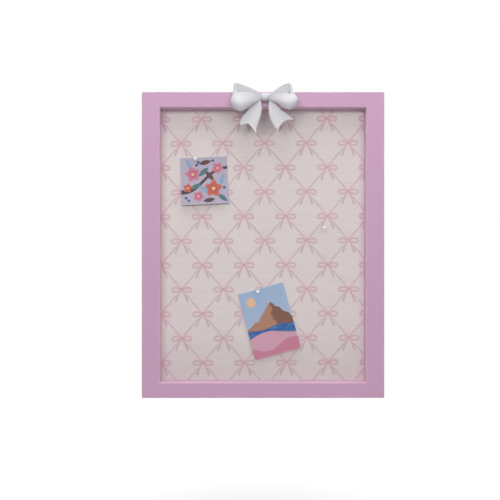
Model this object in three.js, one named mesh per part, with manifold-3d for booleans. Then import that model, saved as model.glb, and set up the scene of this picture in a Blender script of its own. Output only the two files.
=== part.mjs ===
// Pin board: a painted wooden frame round a fabric-covered soft board, with a ribbon bow fixed to
// the top rail, ball-head pins and two pinned cards. Millimetres, +Z up, the front faces -Y, and
// the origin is the notch of the hanger that the board hangs from.
import * as THREE from 'three';
import { mergeVertices } from 'three/addons/utils/BufferGeometryUtils.js';
import Module from 'manifold-3d';

const wasm = await Module();
wasm.setup();

// Frame
const openingWidth = 300;
const openingHeight = 400;
const stileFace = 26;
const railFace = 22;
const recessDepth = 18;
const rebateLip = 6;
const edgeRound = 0.9;
const cornerRound = 2;

// Dowels across the four butt joints
const dowelRadius = 3;
const dowelReach = 16;
const dowelChamfer = 0.8;
const dowelFrontInset = 8;
const dowelBackInset = 7;

// Panel stack, front to back
const fabricThickness = 0.8;
const hemWidth = 25;
const coreThickness = 5;
const backingThickness = 3;

// Turn buttons and their screws
const buttonThickness = 1.2;
const buttonPivotRadius = 5;
const buttonTipRadius = 3.5;
const buttonReach = 18;
const railButtonOffset = 95;
const screwRadius = 1.5;
const screwDepth = 12;
const screwHeadRadius = 3.2;
const screwHeadHeight = 1.9;

// Sawtooth hanger and its nails
const hangerLength = 46;
const hangerHeight = 9;
const hangerInset = 8;
const hangerSheet = 0.9;
const hangerTab = 11;
const hangerSlope = 2.5;
const hangerRise = 2;
const toothPitch = 2.4;
const toothDepth = 1.5;
const notchCount = 7;
const nailRadius = 0.8;
const nailDepth = 11;
const nailHeadRadius = 2;
const nailHeadHeight = 0.9;

// Wall bumpers
const bumperRadius = 5;
const bumperHeight = 4;
const bumperTaper = 0.8;

// Ribbon bow
const bowOffset = 2.8;
const bowDrop = 9.4;
const ribbonThickness = 1.8;
const ribbonPinch = 3;
const foldPinch = 1.4;
const loopPuff = 7.5;
const loopCrown = 5.6;
const swellStart = 0.36;
const swellEnd = 0.88;
const knotWidth = 9;
const knotBand = 2;
const knotRound = 2.2;
const tailLift = 2.4;
const tailCrown = 1.3;
const leftLoop = {
  side: -1,
  reach: 48,
  drop: 22,
  root: 11.6,
  shoulder: 4.4,
  cornerOut: 44.2,
  cornerRise: 20.6,
};
const rightLoop = {
  side: 1,
  reach: 45.4,
  drop: 19.6,
  root: 9.8,
  shoulder: 3,
  cornerOut: 36.4,
  cornerRise: 20.4,
};
const leftTail = {
  side: -1,
  inner: [[5.2, -9], [5, -19], [8.2, -31.5], [12.2, -42], [13, -51]],
  outer: [[13, -5], [19.5, -12], [28, -22.5], [35, -32], [36.4, -38]],
  notch: 7.4,
};
const rightTail = {
  side: 1,
  inner: [[5.2, -9], [5.2, -18], [7.4, -29.5], [12, -39], [18.3, -46]],
  outer: [[12.5, -5.2], [18.5, -13], [25, -19.6], [33.5, -26], [40.6, -32]],
  notch: 7.6,
};

// Ball-head pins: each stands a stated way in from the edges of the opening
const pinHeadRadius = 2.8;
const pinHeadStandoff = 8.5;
const needleRadius = 0.5;
const needleDepth = 5;
const needleSeat = 2.3;
const needlePoint = 2;
const squarePin = { fromLeft: 51, fromTop: 73.7 };
const tallPin = { fromLeft: 142.4, fromBottom: 131.5 };
const sparePin = { fromRight: 60.2, fromTop: 175 };

// Pinned cards: pin place in each card is measured from its top edge and its middle
const cardThickness = 0.5;
const squareCard = { width: 70, height: 70, turn: 2.5, pinDrop: 3.5, pinAside: -11.3, curl: 4.5, skew: 0.5 };
const tallCard = { width: 70, height: 100, turn: 15.2, pinDrop: 3, pinAside: -5, curl: 3, skew: 0.2 };

// Clearances
const seatGap = 0.2;
const panelSideGap = 0.5;
const runningGap = 0.3;
const boreGap = 0.25;
const layerGap = 0.4;
const glueGap = 0.3;

// Worked-out places: Y is 0 at the back of the frame, X and Z are 0 at its middle
const rebateDepth = 2 * fabricThickness + coreThickness + backingThickness + 4 * seatGap;
const frameDepth = recessDepth + rebateDepth;
const frontY = -frameDepth;
const outerWidth = openingWidth + 2 * stileFace;
const outerHeight = openingHeight + 2 * railFace;
const panelWidth = openingWidth + 2 * (rebateLip - panelSideGap);
const panelHeight = openingHeight + 2 * (rebateLip - panelSideGap);
const stileBackMiddle = outerWidth / 2 - (stileFace - rebateLip) / 2;
const railBackMiddle = outerHeight / 2 - (railFace - rebateLip) / 2;
const backingFront = -backingThickness;
const hemBack = backingFront - seatGap;
const coreBack = hemBack - fabricThickness - seatGap;
const coreFront = coreBack - coreThickness;
const fabricBack = coreFront - seatGap;
const fabricFront = fabricBack - fabricThickness;
const hangerMiddle = outerHeight / 2 - hangerInset;
const hangHeight = hangerMiddle - hangerHeight / 2 + toothDepth;
const hangDepth = seatGap + hangerRise + hangerSheet / 2;
const knotHalf = knotWidth / 2;
const stripEnd = 0.6;
const stripExit = knotHalf + 0.6;
const layerStep = ribbonThickness + layerGap;
const backLayer = glueGap + knotBand + layerGap + ribbonThickness / 2;
const tailLayer = backLayer + layerStep;
const frontLayer = tailLayer + layerStep;
const knotMiddle = new THREE.Vector3(bowOffset, frontY, outerHeight / 2 - bowDrop);
const weld = 1e-4;

// Solids and cuts

function solidOf(geometry) {
  const bare = geometry.clone();
  bare.deleteAttribute('normal');
  bare.deleteAttribute('uv');
  const welded = mergeVertices(bare, weld);
  return new wasm.Manifold(new wasm.Mesh({
    numProp: 3,
    vertProperties: new Float32Array(welded.attributes.position.array),
    triVerts: new Uint32Array(welded.index.array),
  }));
}

function geometryOf(solid) {
  const mesh = solid.getMesh();
  const geometry = new THREE.BufferGeometry();
  geometry.setAttribute('position', new THREE.BufferAttribute(mesh.vertProperties, 3));
  geometry.setIndex(new THREE.BufferAttribute(mesh.triVerts, 1));
  geometry.computeVertexNormals();
  return geometry;
}

function block(low, high) {
  const size = new THREE.Vector3().subVectors(high, low);
  const middle = new THREE.Vector3().addVectors(low, high).multiplyScalar(0.5);
  return new THREE.BoxGeometry(size.x, size.y, size.z).translate(middle.x, middle.y, middle.z);
}

function slab(width, height, yFront, yBack) {
  const low = new THREE.Vector3(-width / 2, yFront, -height / 2);
  const high = new THREE.Vector3(width / 2, yBack, height / 2);
  return block(low, high);
}

function rodAlongY(radius, yFront, yBack, x, z, sides = 12) {
  const rod = new THREE.CylinderGeometry(radius, radius, yBack - yFront, sides);
  return rod.translate(x, (yFront + yBack) / 2, z);
}

function roundedRectangle(path, width, height, radius) {
  const x = width / 2 - radius;
  const y = height / 2 - radius;
  path.absarc(x, y, radius, 0, Math.PI / 2);
  path.absarc(-x, y, radius, Math.PI / 2, Math.PI);
  path.absarc(-x, -y, radius, Math.PI, 1.5 * Math.PI);
  path.absarc(x, -y, radius, 1.5 * Math.PI, 2 * Math.PI);
  path.closePath();
  return path;
}

// A shape drawn in X and Z, given thickness along Y from yFront to yBack.
function plate(shape, yFront, yBack, options = {}) {
  const geometry = new THREE.ExtrudeGeometry(shape, {
    depth: yBack - yFront,
    bevelEnabled: false,
    curveSegments: 8,
    ...options,
  });
  return geometry.rotateX(Math.PI / 2).translate(0, yBack, 0);
}

function turned(profile, sides) {
  return new THREE.LatheGeometry(profile.map(([radius, y]) => new THREE.Vector2(radius, y)), sides);
}

// A strip of even thickness on a surface given as a function of along and across, both 0 to 1.
function strip(surface, alongSteps, acrossSteps, thickness) {
  const positions = [];
  const triangles = [];
  const rowLength = acrossSteps + 1;
  const sheetLength = rowLength * (alongSteps + 1);
  for (const offset of [thickness / 2, -thickness / 2]) {
    for (let row = 0; row <= alongSteps; row += 1) {
      for (let column = 0; column <= acrossSteps; column += 1) {
        const along = row / alongSteps;
        const across = column / acrossSteps;
        const point = surface(along, across).addScaledVector(normalAt(surface, along, across), offset);
        positions.push(point.x, point.y, point.z);
      }
    }
  }
  const quad = (a, b, c, d) => triangles.push(a, b, c, a, c, d);
  const corner = (row, column, side) => side * sheetLength + row * rowLength + column;
  for (let row = 0; row < alongSteps; row += 1) {
    for (let column = 0; column < acrossSteps; column += 1) {
      quad(corner(row, column, 0), corner(row + 1, column, 0),
        corner(row + 1, column + 1, 0), corner(row, column + 1, 0));
      quad(corner(row, column, 1), corner(row, column + 1, 1),
        corner(row + 1, column + 1, 1), corner(row + 1, column, 1));
    }
    quad(corner(row, 0, 0), corner(row, 0, 1), corner(row + 1, 0, 1), corner(row + 1, 0, 0));
    quad(corner(row, acrossSteps, 0), corner(row + 1, acrossSteps, 0),
      corner(row + 1, acrossSteps, 1), corner(row, acrossSteps, 1));
  }
  for (let column = 0; column < acrossSteps; column += 1) {
    quad(corner(0, column, 0), corner(0, column + 1, 0), corner(0, column + 1, 1), corner(0, column, 1));
    quad(corner(alongSteps, column, 0), corner(alongSteps, column, 1),
      corner(alongSteps, column + 1, 1), corner(alongSteps, column + 1, 0));
  }
  const geometry = new THREE.BufferGeometry();
  geometry.setAttribute('position', new THREE.Float32BufferAttribute(positions, 3));
  geometry.setIndex(triangles);
  geometry.computeVertexNormals();
  return geometry;
}

function normalAt(surface, along, across) {
  const step = 1e-3;
  const ahead = Math.min(along + step, 1);
  const behind = Math.max(along - step, 0);
  const above = Math.min(across + step, 1);
  const below = Math.max(across - step, 0);
  const alongWay = surface(ahead, across).sub(surface(behind, across));
  const acrossWay = surface(along, above).sub(surface(along, below));
  return alongWay.cross(acrossWay).normalize();
}

// Materials

const finish = (color, roughness, metalness = 0) => () => (
  new THREE.MeshStandardMaterial({ color, roughness, metalness })
);
const lilacPaint = finish(0xc8a0c0, 0.55);
const printedLinen = finish(0xd8cdcb, 0.95);
const softBoard = finish(0xb58a5e, 0.9);
const hardboard = finish(0x7d5a3c, 0.8);
const bareWood = finish(0xcfae80, 0.75);
const whiteBow = finish(0xeeeef0, 0.35);
const whiteBall = finish(0xf4f4f2, 0.25);
const brightSteel = finish(0xb9bcc0, 0.3, 1);
const lavenderCard = finish(0xb4b2cc, 0.6);
const skyCard = finish(0x9db2d2, 0.6);
const darkRubber = finish(0x3a3a3c, 0.9);

const board = new THREE.Group();

function add(name, geometry, material) {
  const mesh = new THREE.Mesh(geometry, material());
  mesh.name = name;
  board.add(mesh);
  return mesh;
}

// Frame: four butt-jointed bars, rounded over and rebated together

const dowelPlaces = [];
for (const xSide of [-1, 1]) {
  for (const zSide of [-1, 1]) {
    dowelPlaces.push({ xSide, zSide, y: frontY + dowelFrontInset, row: 'front' });
    dowelPlaces.push({ xSide, zSide, y: -dowelBackInset, row: 'back' });
  }
}

const buttonPlaces = [
  { name: 'top_left', x: -railButtonOffset, z: railBackMiddle, turn: Math.PI / 2 },
  { name: 'top_right', x: railButtonOffset, z: railBackMiddle, turn: Math.PI / 2 },
  { name: 'bottom_left', x: -railButtonOffset, z: -railBackMiddle, turn: -Math.PI / 2 },
  { name: 'bottom_right', x: railButtonOffset, z: -railBackMiddle, turn: -Math.PI / 2 },
  { name: 'left', x: -stileBackMiddle, z: 0, turn: 0 },
  { name: 'right', x: stileBackMiddle, z: 0, turn: Math.PI },
];

const nailPlaces = [
  { name: 'left', x: -(hangerLength - hangerTab) / 2 },
  { name: 'right', x: (hangerLength - hangerTab) / 2 },
];

function dowelGeometry(length, radius, chamfer) {
  const end = length / 2;
  const profile = [[0, -end], [radius - chamfer, -end], [radius, chamfer - end],
    [radius, end - chamfer], [radius - chamfer, end], [0, end]];
  return turned(profile, 16).rotateZ(Math.PI / 2);
}

function dowelHole(place) {
  const radius = dowelRadius + boreGap;
  const hole = new THREE.CylinderGeometry(radius, radius, 2 * (dowelReach + runningGap), 16);
  return hole.rotateZ(Math.PI / 2)
    .translate(place.xSide * openingWidth / 2, place.y, place.zSide * railBackMiddle);
}

function frameRing() {
  const outline = roundedRectangle(new THREE.Shape(), outerWidth, outerHeight, cornerRound);
  const opening = new THREE.Path();
  opening.moveTo(-openingWidth / 2, -openingHeight / 2);
  opening.lineTo(-openingWidth / 2, openingHeight / 2);
  opening.lineTo(openingWidth / 2, openingHeight / 2);
  opening.lineTo(openingWidth / 2, -openingHeight / 2);
  opening.closePath();
  outline.holes.push(opening);
  const ring = plate(outline, frontY + edgeRound, -edgeRound, {
    bevelEnabled: true,
    bevelThickness: edgeRound,
    bevelSize: edgeRound,
    bevelOffset: -edgeRound,
    bevelSegments: 3,
    curveSegments: 3,
  });
  const rebateWidth = openingWidth + 2 * rebateLip;
  const rebateHeight = openingHeight + 2 * rebateLip;
  let solid = solidOf(ring).subtract(solidOf(slab(rebateWidth, rebateHeight, -rebateDepth, frameDepth)));
  for (const place of dowelPlaces) {
    solid = solid.subtract(solidOf(dowelHole(place)));
  }
  for (const place of buttonPlaces) {
    const pilot = rodAlongY(screwRadius + boreGap, -screwDepth - runningGap, frameDepth, place.x, place.z);
    solid = solid.subtract(solidOf(pilot));
  }
  for (const place of nailPlaces) {
    const pilot = rodAlongY(nailRadius + boreGap, -nailDepth - runningGap, frameDepth, place.x, hangerMiddle);
    solid = solid.subtract(solidOf(pilot));
  }
  return solid;
}

function addFrame() {
  const ring = frameRing();
  const inner = openingWidth / 2;
  const bars = [
    ['left_stile', -outerWidth, -inner, -outerHeight, outerHeight],
    ['right_stile', inner, outerWidth, -outerHeight, outerHeight],
    ['top_rail', -inner, inner, 0, outerHeight],
    ['bottom_rail', -inner, inner, -outerHeight, 0],
  ];
  for (const [name, xLow, xHigh, zLow, zHigh] of bars) {
    const low = new THREE.Vector3(xLow, 2 * frontY, zLow);
    const high = new THREE.Vector3(xHigh, frameDepth, zHigh);
    add(name, geometryOf(ring.intersect(solidOf(block(low, high)))), lilacPaint);
  }
}

function addDowels() {
  for (const { xSide, zSide, y, row } of dowelPlaces) {
    const across = xSide < 0 ? 'left' : 'right';
    const level = zSide < 0 ? 'bottom' : 'top';
    const geometry = dowelGeometry(2 * dowelReach, dowelRadius, dowelChamfer);
    const dowel = add(`dowel_${level}_${across}_${row}`, geometry, bareWood);
    dowel.position.set(xSide * openingWidth / 2, y, zSide * railBackMiddle);
  }
}

// Panel: fabric wrapped round a soft core, closed from behind by a backing board

const pinPlaces = {
  square: { x: squarePin.fromLeft - openingWidth / 2, z: openingHeight / 2 - squarePin.fromTop },
  tall: { x: tallPin.fromLeft - openingWidth / 2, z: tallPin.fromBottom - openingHeight / 2 },
  spare: { x: openingWidth / 2 - sparePin.fromRight, z: openingHeight / 2 - sparePin.fromTop },
};

function pierced(geometry) {
  let solid = solidOf(geometry);
  for (const { x, z } of Object.values(pinPlaces)) {
    const hole = rodAlongY(needleRadius + boreGap, frontY, fabricFront + needleDepth + runningGap, x, z);
    solid = solid.subtract(solidOf(hole));
  }
  return geometryOf(solid);
}

function fabricGeometry() {
  const coreWidth = panelWidth - 2 * fabricThickness;
  const coreHeight = panelHeight - 2 * fabricThickness;
  const wrap = solidOf(slab(panelWidth, panelHeight, fabricFront, hemBack))
    .subtract(solidOf(slab(coreWidth, coreHeight, fabricBack, hemBack - fabricThickness)))
    .subtract(solidOf(slab(panelWidth - 2 * hemWidth, panelHeight - 2 * hemWidth, coreBack, 0)));
  return geometryOf(wrap);
}

function addPanel() {
  const coreInset = 2 * (fabricThickness + seatGap);
  const core = slab(panelWidth - coreInset, panelHeight - coreInset, coreFront, coreBack);
  add('fabric_cover', pierced(fabricGeometry()), printedLinen);
  add('soft_board_core', pierced(core), softBoard);
  add('backing_board', slab(panelWidth, panelHeight, backingFront, 0), hardboard);
}

// Back fittings

function buttonGeometry() {
  const lean = Math.acos((buttonPivotRadius - buttonTipRadius) / (buttonReach - buttonTipRadius));
  const outline = new THREE.Shape();
  outline.absarc(0, 0, buttonPivotRadius, lean, 2 * Math.PI - lean);
  outline.absarc(buttonReach - buttonTipRadius, 0, buttonTipRadius, -lean, lean);
  outline.closePath();
  const hole = new THREE.Path();
  hole.absarc(0, 0, screwRadius + boreGap, 0, 2 * Math.PI, true);
  outline.holes.push(hole);
  return plate(outline, runningGap, runningGap + buttonThickness);
}

function screwGeometry() {
  const seat = 2 * runningGap + buttonThickness;
  const profile = [
    [0, -screwDepth],
    [screwRadius, 2 * screwRadius - screwDepth],
    [screwRadius, seat],
    [screwHeadRadius, seat],
    [screwHeadRadius, seat + 0.4 * screwHeadHeight],
    [0.75 * screwHeadRadius, seat + 0.85 * screwHeadHeight],
    [0, seat + screwHeadHeight],
  ];
  return turned(profile, 16);
}

function addTurnButtons() {
  for (const { name, x, z, turn } of buttonPlaces) {
    const button = add(`turn_button_${name}`, buttonGeometry(), brightSteel);
    button.position.set(x, 0, z);
    button.rotation.y = turn;
    add(`turn_screw_${name}`, screwGeometry(), brightSteel).position.set(x, 0, z);
  }
}

// The hanger's strip is bent to stand off the rail, then cut to its toothed outline.
function hangerGeometry() {
  const end = hangerLength / 2;
  const foot = end - hangerTab;
  const top = foot - hangerSlope;
  const bend = [[-end, 0], [-foot, 0], [-top, hangerRise], [top, hangerRise], [foot, 0], [end, 0]];
  const side = new THREE.Shape();
  bend.forEach(([x, y], index) => (index ? side.lineTo(x, seatGap + y) : side.moveTo(x, seatGap + y)));
  bend.reverse().forEach(([x, y]) => side.lineTo(x, seatGap + y + hangerSheet));
  side.closePath();
  const bent = new THREE.ExtrudeGeometry(side, { depth: 2 * hangerHeight, bevelEnabled: false });
  bent.translate(0, 0, -hangerHeight);

  const low = -hangerHeight / 2;
  const outline = new THREE.Shape();
  outline.moveTo(-end, low);
  for (let notch = 0; notch < notchCount; notch += 1) {
    const middle = (notch - (notchCount - 1) / 2) * toothPitch;
    outline.lineTo(middle - toothPitch / 2, low);
    outline.lineTo(middle, low + toothDepth);
  }
  outline.lineTo(notchCount * toothPitch / 2, low);
  outline.lineTo(end, low);
  outline.lineTo(end, -low);
  outline.lineTo(-end, -low);
  outline.closePath();
  for (const { x } of nailPlaces) {
    const hole = new THREE.Path();
    hole.absarc(x, 0, nailRadius + boreGap, 0, 2 * Math.PI, true);
    outline.holes.push(hole);
  }
  const reach = 2 * (seatGap + hangerRise + hangerSheet);
  return geometryOf(solidOf(bent).intersect(solidOf(plate(outline, 0, reach))));
}

function nailGeometry() {
  const seat = seatGap + hangerSheet + runningGap;
  const profile = [
    [0, -nailDepth],
    [nailRadius, 2 * nailRadius - nailDepth],
    [nailRadius, seat],
    [nailHeadRadius, seat],
    [nailHeadRadius, seat + 0.5 * nailHeadHeight],
    [0, seat + nailHeadHeight],
  ];
  return turned(profile, 12);
}

function addHanger() {
  add('sawtooth_hanger', hangerGeometry(), brightSteel).position.z = hangerMiddle;
  for (const { name, x } of nailPlaces) {
    add(`hanger_nail_${name}`, nailGeometry(), brightSteel).position.set(x, 0, hangerMiddle);
  }
}

function addBumpers() {
  const profile = [
    [0, seatGap],
    [bumperRadius, seatGap],
    [bumperRadius - bumperTaper, bumperHeight],
    [0, bumperHeight],
  ];
  for (const [name, side] of [['left', -1], ['right', 1]]) {
    const bumper = add(`wall_bumper_${name}`, turned(profile, 24), darkRubber);
    bumper.position.set(side * stileBackMiddle, 0, -railBackMiddle);
  }
}

// Ribbon bow: places are out from the knot, proud of the rail's face and up from the knot

function bowPoint(side, [out, proud, rise]) {
  return new THREE.Vector3(side * out, -proud, rise).add(knotMiddle);
}

function edgeCurve(side, points) {
  return new THREE.CatmullRomCurve3(points.map((point) => bowPoint(side, point)));
}

function loopEdges({ reach, cornerOut, cornerRise, root, shoulder, drop }) {
  const foldOut = 0.8 * reach;
  const halfWay = (backLayer + frontLayer + loopPuff) / 2;
  const turnIn = frontLayer + 0.78 * loopPuff;
  const crest = frontLayer + loopPuff;
  const upper = [
    [stripEnd, backLayer, ribbonPinch],
    [stripExit, backLayer, ribbonPinch],
    [0.19 * cornerOut, backLayer, 0.64 * root],
    [0.36 * cornerOut, backLayer, root],
    [0.62 * cornerOut, backLayer + 0.5, 0.8 * cornerRise],
    [cornerOut, backLayer + 1.8, cornerRise],
    [(cornerOut + foldOut) / 2, halfWay, (cornerRise + shoulder) / 2],
    [foldOut, turnIn, shoulder],
    [0.62 * reach, crest, shoulder],
    [0.4 * reach, frontLayer + 0.72 * loopPuff, 0.8 * shoulder],
    [0.25 * reach, frontLayer + 0.45 * loopPuff, 0.48 * shoulder],
    [stripExit, frontLayer, foldPinch],
    [stripEnd, frontLayer, foldPinch],
  ];
  const lower = [
    [stripEnd, backLayer, -ribbonPinch],
    [stripExit, backLayer, -ribbonPinch],
    [0.19 * cornerOut, backLayer, -0.7 * ribbonPinch],
    [0.36 * cornerOut, backLayer, -0.5 * ribbonPinch],
    [0.62 * cornerOut, backLayer + 0.5, -ribbonPinch],
    [0.9 * reach, backLayer + 2.4, -0.3 * drop],
    [0.97 * reach, halfWay, -0.5 * drop],
    [0.95 * reach, turnIn, -0.74 * drop],
    [0.75 * reach, crest, -drop],
    [0.52 * reach, frontLayer + 0.75 * loopPuff, -0.75 * drop],
    [0.33 * reach, frontLayer + 0.5 * loopPuff, -0.42 * drop],
    [stripExit, frontLayer, -ribbonPinch],
    [stripEnd, frontLayer, -ribbonPinch],
  ];
  return { upper, lower };
}

// The loop is a strip between two edge curves, puffed out along its own normal.
function loopGeometry(loop) {
  const { upper, lower } = loopEdges(loop);
  const upperCurve = edgeCurve(loop.side, upper);
  const lowerCurve = edgeCurve(loop.side, lower);
  const flat = (along, across) => lowerCurve.getPoint(along).lerp(upperCurve.getPoint(along), across);
  const puffed = (along, across) => {
    const front = THREE.MathUtils.clamp((along - swellStart) / (swellEnd - swellStart), 0, 1);
    const swell = 6.75 * across * (1 - across) ** 2 * Math.sin(Math.PI * front) ** 2;
    return flat(along, across).addScaledVector(normalAt(flat, along, across), -loop.side * loopCrown * swell);
  };
  return facingOut(strip(puffed, 48, 8, ribbonThickness));
}

function tailEdge(points, start) {
  const rest = points.map(([out, rise], index) => (
    [out, tailLayer + tailLift * ((index + 1) / points.length) ** 3, rise]
  ));
  return [[stripEnd, tailLayer, start], [stripExit, tailLayer, start], ...rest];
}

// The tail runs between its inner and outer edges and ends in a notch.
function tailGeometry(tail) {
  const innerCurve = edgeCurve(tail.side, tailEdge(tail.inner, -ribbonPinch));
  const outerCurve = edgeCurve(tail.side, tailEdge(tail.outer, ribbonPinch));
  const middleLength = (innerCurve.getLength() + outerCurve.getLength()) / 2;
  const surface = (along, across) => {
    const shortened = tail.notch / middleLength * (1 - Math.abs(2 * across - 1));
    const way = along * (1 - shortened);
    const crown = tailCrown * 4 * across * (1 - across) * along;
    const point = innerCurve.getPoint(way).lerp(outerCurve.getPoint(way), across);
    return point.add(new THREE.Vector3(0, -crown, 0));
  };
  return facingOut(strip(surface, 20, 8, ribbonThickness));
}

// Turns a closed geometry's triangles over where they face inwards.
function facingOut(geometry) {
  const { array } = geometry.attributes.position;
  const index = geometry.index.array;
  const corner = (place) => new THREE.Vector3().fromArray(array, 3 * index[place]);
  let volume = 0;
  for (let place = 0; place < index.length; place += 3) {
    volume += corner(place).dot(corner(place + 1).cross(corner(place + 2)));
  }
  if (volume < 0) {
    index.reverse();
    geometry.computeVertexNormals();
  }
  return geometry;
}

// The knot is a pillow-shaped band round the pinched strips, open at both sides.
function knotGeometry() {
  const deep = frontLayer - backLayer + ribbonThickness + 2 * layerGap;
  const tall = 2 * (ribbonPinch + layerGap);
  const outerRound = knotBand + knotRound;
  const outline = roundedRectangle(new THREE.Shape(), tall + 2 * knotBand, deep + 2 * knotBand, outerRound);
  const pillow = new THREE.ExtrudeGeometry(outline, {
    depth: knotWidth - 2 * knotRound,
    bevelThickness: knotRound,
    bevelSize: 0.4 * knotBand,
    bevelOffset: -0.4 * knotBand,
    bevelSegments: 3,
    curveSegments: 4,
  });
  pillow.rotateY(Math.PI / 2).translate(knotRound - knotHalf, 0, 0);
  const channel = new THREE.BoxGeometry(2 * knotWidth, deep, tall);
  return geometryOf(solidOf(pillow).subtract(solidOf(channel)));
}

function addBow() {
  add('bow_loop_left', loopGeometry(leftLoop), whiteBow);
  add('bow_loop_right', loopGeometry(rightLoop), whiteBow);
  add('bow_tail_left', tailGeometry(leftTail), whiteBow);
  add('bow_tail_right', tailGeometry(rightTail), whiteBow);
  const knot = add('bow_knot', knotGeometry(), whiteBow);
  knot.position.set(knotMiddle.x, frontY - tailLayer, knotMiddle.z);
}

// Pins and cards

function pinHeadGeometry() {
  const steps = 9;
  const boreRadius = needleRadius + boreGap;
  const boreDepth = needleSeat + runningGap;
  const mouth = Math.asin(boreRadius / pinHeadRadius);
  const profile = [[0, pinHeadRadius - boreDepth], [boreRadius, pinHeadRadius - boreDepth]];
  for (let step = 0; step <= steps; step += 1) {
    const angle = mouth + (Math.PI - mouth) * step / steps;
    profile.push([step < steps ? pinHeadRadius * Math.sin(angle) : 0, pinHeadRadius * Math.cos(angle)]);
  }
  return turned(profile.reverse(), 16);
}

function needleGeometry() {
  const headEnd = pinHeadRadius - needleSeat - pinHeadStandoff;
  const profile = [
    [0, headEnd],
    [needleRadius, headEnd],
    [needleRadius, needleDepth - needlePoint],
    [0, needleDepth],
  ];
  return turned(profile, 10);
}

function addPin(name, { x, z }) {
  add(`${name}_pin_head`, pinHeadGeometry(), whiteBall).position.set(x, fabricFront - pinHeadStandoff, z);
  add(`${name}_pin_needle`, needleGeometry(), brightSteel).position.set(x, fabricFront, z);
}

// A card hangs from its pin, lies against the fabric there and lifts away below.
function cardGeometry({ width, height, pinDrop, pinAside, curl, skew }) {
  const surface = (along, across) => {
    const x = (across - 0.5) * width - pinAside;
    const below = along * height - pinDrop;
    const share = Math.max(below, 0) / height;
    const lift = curl * share ** 2 * (1 + skew * (0.5 - across));
    return new THREE.Vector3(x, -(runningGap + cardThickness / 2 + lift), -below);
  };
  const card = solidOf(facingOut(strip(surface, 10, 6, cardThickness)));
  const hole = rodAlongY(needleRadius + boreGap, -recessDepth, recessDepth, 0, 0);
  return geometryOf(card.subtract(solidOf(hole)));
}

function addCard(name, card, { x, z }, material) {
  const mesh = add(name, cardGeometry(card), material);
  mesh.position.set(x, fabricFront, z);
  mesh.rotation.y = -THREE.MathUtils.degToRad(card.turn);
}

addFrame();
addDowels();
addPanel();
addTurnButtons();
addHanger();
addBumpers();
addBow();
addPin('square_card', pinPlaces.square);
addPin('tall_card', pinPlaces.tall);
addPin('spare', pinPlaces.spare);
addCard('square_card', squareCard, pinPlaces.square, lavenderCard);
addCard('tall_card', tallCard, pinPlaces.tall, skyCard);
board.position.set(0, -hangDepth, -hangHeight);

const pinBoard = new THREE.Group();
pinBoard.add(board);

export default pinBoard;
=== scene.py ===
"""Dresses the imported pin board: painted frame, printed linen, satin bow, pins, cards and back fittings."""

import logging
import math
from dataclasses import dataclass
from enum import Enum
from typing import ClassVar, Sequence, Union

import bmesh
import bpy
from mathutils import Matrix, Vector


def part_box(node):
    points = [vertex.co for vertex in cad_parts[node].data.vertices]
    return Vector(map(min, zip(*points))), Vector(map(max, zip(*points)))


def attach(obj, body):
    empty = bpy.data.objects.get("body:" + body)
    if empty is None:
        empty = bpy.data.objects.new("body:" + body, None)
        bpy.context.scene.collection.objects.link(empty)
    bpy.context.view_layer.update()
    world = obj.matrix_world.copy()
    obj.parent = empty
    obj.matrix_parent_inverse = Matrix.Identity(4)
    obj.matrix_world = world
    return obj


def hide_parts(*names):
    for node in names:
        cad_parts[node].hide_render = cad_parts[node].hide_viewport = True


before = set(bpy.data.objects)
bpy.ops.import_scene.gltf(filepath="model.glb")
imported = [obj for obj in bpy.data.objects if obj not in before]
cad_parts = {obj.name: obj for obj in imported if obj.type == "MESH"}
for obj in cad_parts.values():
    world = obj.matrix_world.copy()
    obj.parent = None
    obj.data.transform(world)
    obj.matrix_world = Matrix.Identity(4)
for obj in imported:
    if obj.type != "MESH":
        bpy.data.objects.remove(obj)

LOG = logging.getLogger("pin_board")
MM = 0.001
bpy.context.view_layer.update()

Screen = tuple[int, int, int]
Linear = tuple[float, float, float, float]
Socket = bpy.types.NodeSocket
Shape = bmesh.types.BMesh
Edges = list[bmesh.types.BMEdge]

FRAME_MIDDLE = Vector((0.0, -0.031, -0.211))
BOW_MIDDLE = Vector((0.002, -0.036, -0.002))
SEW_DISTANCE = 0.002 * MM
PAIR_BEND = math.radians(25)
PAIR_SKEW = math.radians(60)


def linear(screen: Screen) -> Linear:
    """Turns 8-bit screen values into a linear colour by the sRGB curve.

    Args:
        screen: Red, green and blue from 0 to 255.

    Returns:
        The colour as a node socket takes it, with an alpha of 1.
    """
    shares = [value / 255 for value in screen]
    curved = [s / 12.92 if s <= 0.04045 else ((s + 0.055) / 1.055) ** 2.4 for s in shares]
    return (curved[0], curved[1], curved[2], 1.0)


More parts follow.
